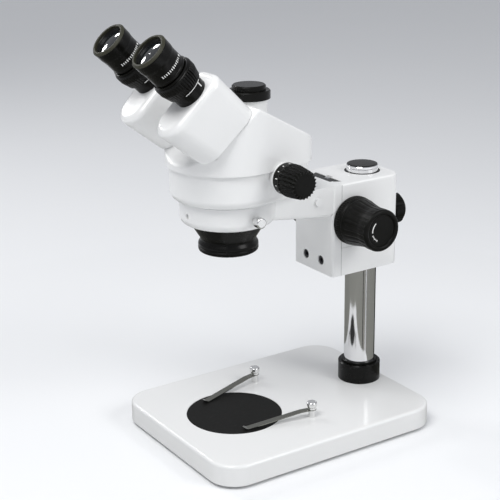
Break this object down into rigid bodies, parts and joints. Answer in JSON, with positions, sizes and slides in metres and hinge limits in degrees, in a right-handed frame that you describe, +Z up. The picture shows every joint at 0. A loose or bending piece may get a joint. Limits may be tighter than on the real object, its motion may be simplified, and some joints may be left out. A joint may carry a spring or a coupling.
{
  "type": "stereo microscope",
  "caption": "Stereo zoom microscope with inclined eyepieces and a third vertical port, on a focus block that slides and swivels on a round pillar, over a flat base with stage plate and clips.",
  "frame": {"origin": "on the pillar's axis, in the plane of the feet's undersides", "axes": "+Z up along the pillar, -Y towards the user, +X to the user's right"},
  "size_m": [0.2, 0.32, 0.416],
  "materials": {
    "white_paint": "satin white stoving enamel",
    "black_paint": "satin black enamel",
    "black_anodised": "black anodised",
    "black_plastic": "fine-grained black plastic",
    "stage_black": "matt black stage plate",
    "pillar_chrome": "hard chromed and polished",
    "spring_steel": "bright spring steel",
    "steel": "turned steel",
    "screw_steel": "blackened screw steel",
    "bronze": "bearing bronze",
    "liner_nylon": "black nylon",
    "foot_rubber": "black rubber",
    "coated_glass": "coated optical glass"
  },
  "bodies": {
    "base": {"base_plate": "white_paint", "base_feet": "foot_rubber", "stage_plate": "stage_black", "clip_posts": "pillar_chrome", "clip_spacers": "pillar_chrome", "pillar": "pillar_chrome", "pillar_collar": "black_paint", "pillar_cap": "black_plastic", "pillar_bolt": "screw_steel"},
    "clip_right": {"clip_leaf_right": "spring_steel"},
    "clip_left": {"clip_leaf_left": "spring_steel"},
    "liner": {"bore_liner": "liner_nylon"},
    "block": {"focus_block": "white_paint", "gib_strip": "bronze", "pinion_bushes": "bronze"},
    "clamp_plug": {"clamp_plug": "liner_nylon"},
    "clamp_screw": {"clamp_stud": "steel", "clamp_knob": "black_plastic"},
    "focus_drive": {"pinion_shaft": "steel", "focus_knob_right": "black_plastic", "focus_knob_left": "black_plastic", "focus_knob_caps": "black_plastic"},
    "tension_ring": {"tension_ring": "black_plastic"},
    "bracket": {"head_bracket": "white_paint", "dovetail_slide": "black_paint", "focus_rack": "steel", "plate_screws": "screw_steel", "bracket_screws": "screw_steel"},
    "thumb_plug": {"thumb_plug": "liner_nylon"},
    "thumb_screw": {"thumb_screw": "pillar_chrome"},
    "head": {"zoom_body": "white_paint", "top_cover": "white_paint", "objective_housing": "black_paint", "objective_plate": "black_paint", "objective_lenses": "coated_glass", "guide_rods": "steel", "rod_bridge": "black_anodised", "body_screws": "screw_steel", "port_tube": "white_paint"},
    "port_cap": {"port_cap": "black_plastic"},
    "zoom_drive": {"zoom_shaft": "steel", "zoom_knob_right": "black_plastic", "zoom_knob_left": "black_plastic"},
    "zoom_carriage": {"zoom_carriage": "black_anodised", "zoom_lenses": "coated_glass"},
    "pod_right": {"pod_right": "white_paint", "prism_right": "coated_glass", "eye_sleeve_right": "black_anodised"},
    "diopter_tube_right": {"diopter_tube_right": "black_anodised"},
    "diopter_ring_right": {"diopter_ring_right": "black_plastic"},
    "eyepiece_right": {"eyepiece_right": "black_anodised", "eye_lens_right": "coated_glass"},
    "pod_left": {"pod_left": "white_paint", "prism_left": "coated_glass", "eye_sleeve_left": "black_anodised"},
    "diopter_tube_left": {"diopter_tube_left": "black_anodised"},
    "diopter_ring_left": {"diopter_ring_left": "black_plastic"},
    "eyepiece_left": {"eyepiece_left": "black_anodised", "eye_lens_left": "coated_glass"}
  },
  "joints": [
    {"name": "pillar_slide", "type": "slide", "parent": "base", "child": "liner", "axis": [0, 0, 1], "range_m": [-0.1, 0.02]},
    {"name": "pillar_swivel", "type": "hinge", "parent": "liner", "child": "block", "pos_m": [0, 0, 0.2], "axis": [0, 0, 1], "continuous": true},
    {"name": "clamp_plug_slide", "type": "slide", "parent": "block", "child": "clamp_plug", "axis": [0, 1, 0], "range_m": [0, 0.001]},
    {"name": "clamp_knob_turn", "type": "hinge", "parent": "clamp_plug", "child": "clamp_screw", "pos_m": [0, 0.03, 0.204], "axis": [0, 1, 0], "range_deg": [0, 288]},
    {"name": "focus_slide", "type": "slide", "parent": "block", "child": "bracket", "axis": [0, 0, 1], "range_m": [-0.022, 0.022]},
    {"name": "focus_knob_turn", "type": "hinge", "parent": "block", "child": "focus_drive", "pos_m": [0, -0.036, 0.213], "axis": [1, 0, 0], "range_deg": [-252.5, 252.5]},
    {"name": "tension_ring_turn", "type": "hinge", "parent": "block", "child": "tension_ring", "pos_m": [0.038, -0.036, 0.213], "axis": [1, 0, 0], "range_deg": [-60, 60]},
    {"name": "thumb_plug_slide", "type": "slide", "parent": "bracket", "child": "thumb_plug", "axis": [1, 0, 0], "range_m": [0, 0.001]},
    {"name": "thumb_screw_turn", "type": "hinge", "parent": "thumb_plug", "child": "thumb_screw", "pos_m": [0.05, -0.1605, 0.238], "axis": [1, 0, 0], "range_deg": [0, 450]},
    {"name": "head_swivel", "type": "hinge", "parent": "bracket", "child": "head", "pos_m": [0, -0.1605, 0.24], "axis": [0, 0, 1], "continuous": true},
    {"name": "port_cap_lift", "type": "slide", "parent": "head", "child": "port_cap", "axis": [0, 0, 1], "range_m": [0, 0.012]},
    {"name": "zoom_knob_turn", "type": "hinge", "parent": "head", "child": "zoom_drive", "pos_m": [0, -0.1345, 0.277], "axis": [1, 0, 0], "range_deg": [-140, 140]},
    {"name": "zoom_carriage_slide", "type": "slide", "parent": "head", "child": "zoom_carriage", "axis": [0, 0, 1], "range_m": [-0.00977, 0.00977]},
    {"name": "eye_distance_right", "type": "hinge", "parent": "head", "child": "pod_right", "pos_m": [0.0345, 0.05544, 0.05544], "axis": [0, -0.7071, 0.7071], "range_deg": [-4, 18]},
    {"name": "diopter_slide_right", "type": "slide", "parent": "pod_right", "child": "diopter_tube_right", "axis": [0, -0.7071, 0.7071], "range_m": [0, 0.005]},
    {"name": "diopter_ring_turn_right", "type": "hinge", "parent": "diopter_tube_right", "child": "diopter_ring_right", "pos_m": [0.0365, 0.07163, 0.07163], "axis": [0, -0.7071, 0.7071], "range_deg": [0, 300]},
    {"name": "eyepiece_slide_right", "type": "slide", "parent": "diopter_tube_right", "child": "eyepiece_right", "axis": [0, -0.7071, 0.7071], "range_m": [0, 0.012]},
    {"name": "clip_turn_right", "type": "hinge", "parent": "base", "child": "clip_right", "pos_m": [0.0513, -0.0986, 0.03], "axis": [0, 0, 1], "range_deg": [-25, 120]},
    {"name": "eye_distance_left", "type": "hinge", "parent": "head", "child": "pod_left", "pos_m": [-0.0345, 0.05544, 0.05544], "axis": [0, -0.7071, 0.7071], "range_deg": [-18, 4]},
    {"name": "diopter_slide_left", "type": "slide", "parent": "pod_left", "child": "diopter_tube_left", "axis": [0, -0.7071, 0.7071], "range_m": [0, 0.005]},
    {"name": "diopter_ring_turn_left", "type": "hinge", "parent": "diopter_tube_left", "child": "diopter_ring_left", "pos_m": [-0.0365, 0.07163, 0.07163], "axis": [0, -0.7071, 0.7071], "range_deg": [0, 300]},
    {"name": "eyepiece_slide_left", "type": "slide", "parent": "diopter_tube_left", "child": "eyepiece_left", "axis": [0, -0.7071, 0.7071], "range_m": [0, 0.012]},
    {"name": "clip_turn_left", "type": "hinge", "parent": "base", "child": "clip_left", "pos_m": [-0.0513, -0.0986, 0.03], "axis": [0, 0, 1], "range_deg": [-120, 25]}
  ],
  "couplings": [
    {"joint": "focus_knob_turn", "follows": "focus_slide", "rad_per_m": -200},
    {"joint": "clamp_knob_turn", "follows": "clamp_plug_slide", "rad_per_m": 5026.5},
    {"joint": "thumb_screw_turn", "follows": "thumb_plug_slide", "rad_per_m": 7854},
    {"joint": "zoom_knob_turn", "follows": "zoom_carriage_slide", "rad_per_m": -250},
    {"joint": "eye_distance_left", "follows": "eye_distance_right", "ratio": -1},
    {"joint": "diopter_ring_turn_right", "follows": "diopter_slide_right", "rad_per_m": 1047.2},
    {"joint": "diopter_ring_turn_left", "follows": "diopter_slide_left", "rad_per_m": 1047.2}
  ]
}
